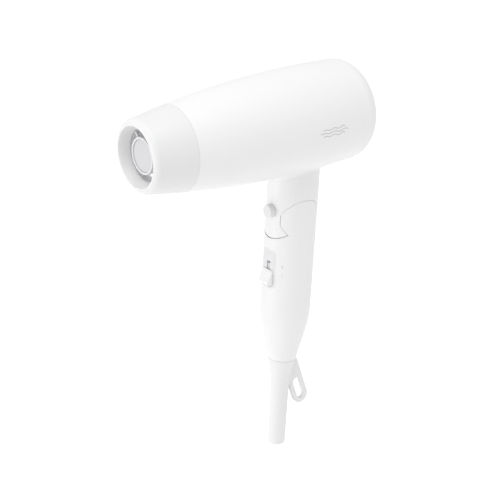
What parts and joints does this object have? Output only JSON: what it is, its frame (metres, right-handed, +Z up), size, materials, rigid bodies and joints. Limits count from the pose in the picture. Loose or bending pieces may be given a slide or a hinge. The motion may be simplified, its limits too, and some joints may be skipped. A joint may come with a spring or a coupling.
{
  "type": "folding hair dryer",
  "caption": "Folding hair dryer: round tapered barrel with a push-on nozzle, hinged tubular handle with slide switch, cool-shot button and cord guard with hanging loop.",
  "frame": {"origin": "middle of the grip, on the handle's centre line", "axes": "+Z up along the barrel-to-cord height, -X the way the air blows, +Y across"},
  "size_m": [0.2014, 0.0808, 0.3174],
  "materials": {
    "white_shell": "satin white moulding",
    "nozzle_grey": "satin, a shade greyer than the shell",
    "guard_grey": "soft matt grey-white",
    "control_grey": "light grey, slightly glossy",
    "control_white": "satin",
    "black_nylon": "glass-filled, matt",
    "mica": "laminated mica",
    "heating_wire": "nichrome",
    "steel": "zinc plated",
    "board": "glass-fibre board",
    "diode_black": "moulded epoxy",
    "wire_jacket": "silicone",
    "filter": "woven nylon mesh",
    "brass": "bright"
  },
  "bodies": {
    "handle": {"handle_left": "white_shell", "handle_right": "white_shell", "handle_screws": "steel", "hinge_pins": "steel", "hinge_washers": "black_nylon", "switch_plate": "control_grey", "switch_body": "black_nylon", "loom_lower": "wire_jacket", "cord_clamp": "black_nylon", "clamp_screws": "steel", "cord_guard": "guard_grey"},
    "barrel": {"barrel_housing": "white_shell", "outlet_grille": "nozzle_grey", "heater_tube": "mica", "heater_cross": "mica", "heater_coils": "heating_wire", "thermal_cutout": "steel", "thermal_fuse": "brass", "motor_shroud": "black_nylon", "motor_can": "steel", "motor_cap": "black_nylon", "rectifier_board": "board", "rectifier_diodes": "diode_black", "intake_frame": "white_shell", "intake_grille": "nozzle_grey", "filter_mesh": "filter", "ion_module": "black_nylon", "ion_emitter": "steel", "cool_shot_switch": "black_nylon", "cool_shot_spring": "steel", "loom_upper": "wire_jacket"},
    "nozzle": {"nozzle_ring": "nozzle_grey", "nozzle_core": "nozzle_grey"},
    "rotor": {"fan_impeller": "black_nylon", "motor_shaft": "steel"},
    "cool_shot": {"cool_shot_button": "control_white", "cool_shot_plunger": "black_nylon"},
    "power_knob": {"switch_knob": "control_white", "switch_slider": "black_nylon"}
  },
  "joints": [
    {"name": "fold", "type": "hinge", "parent": "handle", "child": "barrel", "pos_m": [0.00264, 0, 0.06396], "axis": [0, -1, 0], "range_deg": [0, 80]},
    {"name": "power_slide", "type": "slide", "parent": "handle", "child": "power_knob", "axis": [0.0647, 0, 0.9979], "range_m": [0, 0.01]},
    {"name": "cool_shot_press", "type": "slide", "parent": "barrel", "child": "cool_shot", "axis": [0.9979, 0, -0.0647], "range_m": [0, 0.0015], "stiffness_N_per_m": 400, "springref_m": -0.001, "deforming": ["cool_shot_spring"]},
    {"name": "fan_spin", "type": "hinge", "parent": "barrel", "child": "rotor", "pos_m": [0.03, 0, 0.14], "axis": [-1, 0, 0], "continuous": true},
    {"name": "nozzle_pull", "type": "slide", "parent": "barrel", "child": "nozzle", "axis": [-1, 0, 0], "range_m": [0, 0.014]}
  ]
}
